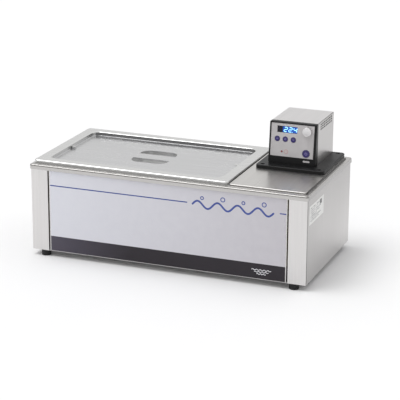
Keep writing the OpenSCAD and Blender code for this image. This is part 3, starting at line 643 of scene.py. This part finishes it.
def display_digits():
    """Lit figures of a temperature reading, 22.4."""
    low, high = face_box("display_window")
    width, height = high[0] - low[0], high[2] - low[2]
    y = low[1] - PRINT_T
    stroke = 2.3 * MM
    digit_w, digit_h = width * 0.15, height * 0.66
    base = low[2] + height * 0.17
    slant = 0.14
    build = bmesh.new()
    for figure, start in (("2", 0.33), ("2", 0.565), ("4", 0.80)):
        for kind in SEGMENTS[figure]:
            outline = segment_outline(kind, low[0] + width * start, base, digit_w, digit_h, stroke)
            prism(build, [(x + (z - base) * slant, z) for x, z in outline], y, PRINT_T)
    decimal_point = arc(low[0] + width * 0.755, base - 0.2 * MM, 0.9 * MM, steps=20)
    prism(build, decimal_point, y, PRINT_T)
    add_piece("display_digits", build, glowing("digit_glow", srgb(150, 215, 255), 1.6),
              "circulator", smooth=False, leaning=True)


# ---------- keys and knob ----------

def rounded_edge(radius, edge, steps):
    """Quarter circle of (radius, y) points from a face to a side of that radius, its start left out."""
    angles = [math.pi / 2 * i / steps for i in range(1, steps + 1)]
    return [(radius - edge + edge * math.sin(angle), edge - edge * math.cos(angle)) for angle in angles]


def key_profile(radius, stem_end):
    """Half section of a key: dished top, round edge, flange and stem."""
    edge = 0.7 * MM
    flange_end = KEY_DEPTH + FLANGE_T
    points = [(0, 0.35 * MM), (radius * 0.5, 0.3 * MM), (radius * 0.72, 0.1 * MM), (radius - edge, 0.0)]
    points += rounded_edge(radius, edge, 5)
    points += [(radius, KEY_DEPTH), (radius + FLANGE_R, KEY_DEPTH), (radius + FLANGE_R, flange_end),
               (STEM_R, flange_end), (STEM_R, stem_end), (0, stem_end)]
    return points


def key(node, body, marks):
    """Turned key in place of a CAD button, and its pale mark."""
    low, high = face_box(node)
    radius = (high[0] - low[0]) / 2 - FLANGE_R
    at = Vector(((low[0] + high[0]) / 2, low[1], (low[2] + high[2]) / 2))
    profile = key_profile(radius, high[1] - low[1])
    mark_y, mark_t = at.y + 0.22 * MM, 0.2 * MM
    add_piece(node + "_cap", lathe(profile, at), key_navy, body,
              replaced=(node,), leaning=True)
    build = bmesh.new()
    for path, width, closed in marks(at.x, at.z):
        ribbon(build, path, width, mark_y, mark_t, closed)
    add_piece(node + "_mark", build, key_mark, body, smooth=False, leaning=True)


def arrow(direction):
    """Chevron that points up or down."""
    def marks(x, z):
        s = 1.6 * MM
        return [([(x - 1.3 * s, z - 0.6 * s * direction), (x, z + 0.7 * s * direction),
                  (x + 1.3 * s, z - 0.6 * s * direction)], 0.9 * MM, False)]
    return marks


def ring_mark(x, z):
    return [(arc(x, z, 1.9 * MM), 0.9 * MM, True)]


def power_mark(x, z):
    """Open ring with a bar through its gap."""
    return [(arc(x, z, 3.3 * MM, 125, 415), 1.0 * MM, False),
            ([(x, z + 0.6 * MM), (x, z + 2.2 * MM), (x, z + 4.0 * MM)], 1.0 * MM, False)]


def knob():
    """Turned knob with a fine grip and a slightly hollow face."""
    low, high = face_box("control_knob")
    radius, length = (high[0] - low[0]) / 2, high[1] - low[1]
    at = Vector(((low[0] + high[0]) / 2, low[1], (low[2] + high[2]) / 2))
    edge = 1.1 * MM
    ridges, ridge = 60, 0.22 * MM

    def grip(r, y, angle):
        on_side = r > radius - 0.3 * MM and y > 1.6 * MM
        return r - (ridge * (0.5 - 0.5 * math.cos(ridges * angle)) if on_side else 0)

    profile = [(0, 0.5 * MM), (radius * 0.55, 0.4 * MM), (radius * 0.8, 0.12 * MM), (radius - edge, 0.0)]
    profile += rounded_edge(radius, edge, 6)
    profile += [(radius, 1.5 * MM), (radius, 2 * MM), (radius, length - 1 * MM),
                (radius - 0.5 * MM, length), (KNOB_BORE_R, length), (KNOB_BORE_R, KNOB_FACE_T),
                (0, KNOB_FACE_T)]
    add_piece("knob_turned", lathe(profile, at, 240, grip), knob_silver, "knob",
              replaced=("control_knob",), leaning=True)


def indicator_rim():
    """Reddish ring printed round the pale lens beside the lamp."""
    low, high = face_box("ring_indicator")
    middle = (low + high) / 2
    build = bmesh.new()
    ribbon(build, arc(middle.x, middle.z, 5.2 * MM), 0.9 * MM, low[1] - PRINT_T, PRINT_T, closed=True)
    add_piece("indicator_rim", build, ink_red, "circulator", smooth=False, leaning=True)


front_motif()
strip_motif()
skirt_badge()
display_digits()
key("menu_button_left", "left_button", arrow(1))
key("menu_button_middle", "middle_button", ring_mark)
key("menu_button_right", "right_button", arrow(-1))
key("power_button", "main_switch", power_mark)
knob()
indicator_rim()


# ---------- studio ----------

def floor():
    bpy.ops.mesh.primitive_plane_add(size=60, location=(0, 0, 0))
    plane = bpy.context.object
    plane.name = "studio_floor"
    plane.data.materials.append(studio_floor())


def wide_sun(name, place, angle, strength):
    """Soft light from far away, shining from place towards the row's middle."""
    light = bpy.data.lights.new(name, "SUN")
    light.angle = math.radians(angle)
    light.energy = strength
    lamp = bpy.data.objects.new(name, light)
    lamp.location = place
    lamp.rotation_euler = Vector(place).to_track_quat("Z", "Y").to_euler()
    bpy.context.scene.collection.objects.link(lamp)


def studio_world():
    """Pale room, brightest overhead and dim behind the camera and below. The light from a
    direction is even_level plus that direction's dot product with tilt."""
    tilt = (-0.06, 0.16, 0.50)
    even_level = 0.48
    world = bpy.data.worlds.new("studio_world")
    world.use_nodes = True
    tree = world.node_tree
    ground = tree.nodes["Background"]
    place = tree.nodes.new("ShaderNodeTexCoord")
    slope = tree.nodes.new("ShaderNodeVectorMath")
    slope.operation = "DOT_PRODUCT"
    slope.inputs[1].default_value = tilt
    level = tree.nodes.new("ShaderNodeMath")
    level.inputs[1].default_value = even_level
    ground.inputs["Color"].default_value = (1, 1, 1, 1)
    tree.links.new(place.outputs["Generated"], slope.inputs[0])
    tree.links.new(slope.outputs["Value"], level.inputs[0])
    tree.links.new(level.outputs[0], ground.inputs["Strength"])
    bpy.context.scene.world = world


def camera():
    """Long lens from the front right, above the lid."""
    azimuth, elevation, roll = (math.radians(v) for v in (21.22, 17.64, 0.28))
    distance = 4.3
    aim = Vector((0.0762, -0.1360, 0.1926))
    back = Vector((math.sin(azimuth) * math.cos(elevation),
                   -math.cos(azimuth) * math.cos(elevation), math.sin(elevation)))
    right = Vector((math.cos(azimuth), math.sin(azimuth), 0))
    up = back.cross(right)
    turned_right = right * math.cos(roll) + up * math.sin(roll)
    turned_up = up * math.cos(roll) - right * math.sin(roll)
    data = bpy.data.cameras.new("camera")
    data.sensor_width = 36
    data.lens = 148.4
    data.clip_end = 100
    eye = bpy.data.objects.new("camera", data)
    turn = Matrix((turned_right, turned_up, back)).transposed().to_4x4()
    eye.matrix_world = Matrix.Translation(aim + back * distance) @ turn
    bpy.context.scene.collection.objects.link(eye)
    bpy.context.scene.camera = eye


floor()
wide_sun("key_light", (-1.6, -0.9, 4.0), 35, 1.2)
studio_world()
camera()
bpy.context.scene.view_settings.view_transform = "Standard"
